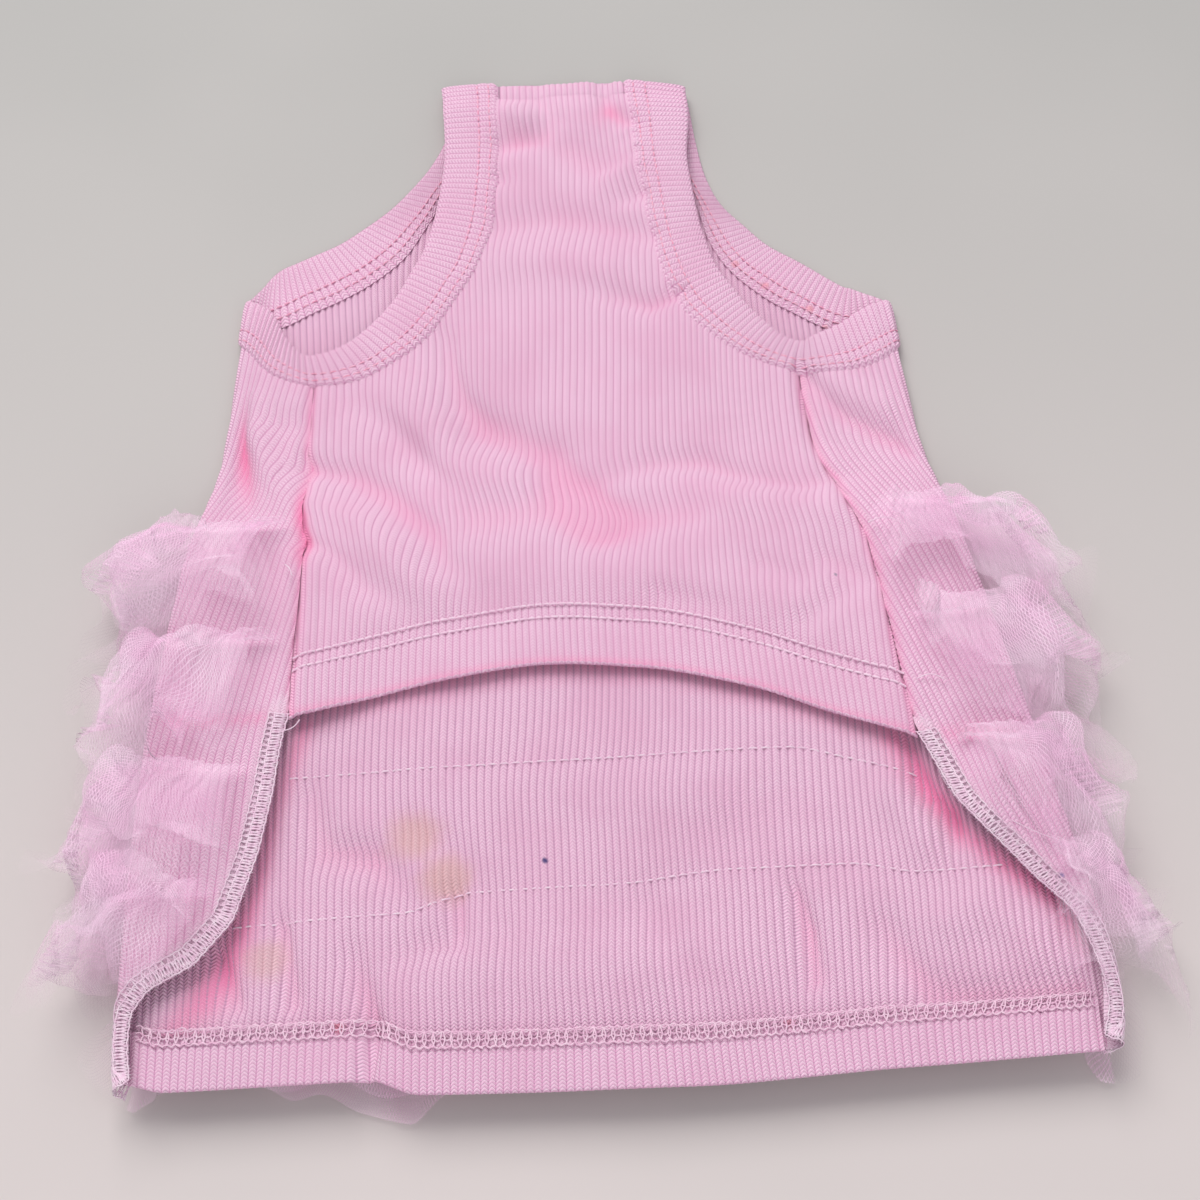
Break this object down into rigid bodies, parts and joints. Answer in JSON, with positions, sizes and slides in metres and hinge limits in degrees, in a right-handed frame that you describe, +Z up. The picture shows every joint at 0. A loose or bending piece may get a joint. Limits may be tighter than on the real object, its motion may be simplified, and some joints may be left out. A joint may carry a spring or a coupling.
{
  "type": "sleeveless rib knit dog dress",
  "caption": "Sleeveless rib knit dress for a small dog with rows of gathered tulle on the back, lying flat with its belly side up.",
  "frame": {"origin": "centre of the bounding box, on the surface that the garment lies on", "axes": "+Z up out of the belly side, +Y from the back hem towards the neck, +X across the garment"},
  "size_m": [0.2934, 0.3354, 0.029],
  "materials": {
    "rib_knit": "matt rib knit",
    "rib_band": "matt rib knit, ribs across the band",
    "tulle": "fine soft net"
  },
  "bodies": {
    "root": {"back_panel": "rib_knit", "belly_panel": "rib_knit", "armhole_band_left": "rib_band", "armhole_band_right": "rib_band", "neck_band": "rib_knit", "tulle_tier_1": "tulle", "tulle_tier_2": "tulle", "tulle_tier_3": "tulle", "tulle_tier_4": "tulle"}
  },
  "joints": []
}
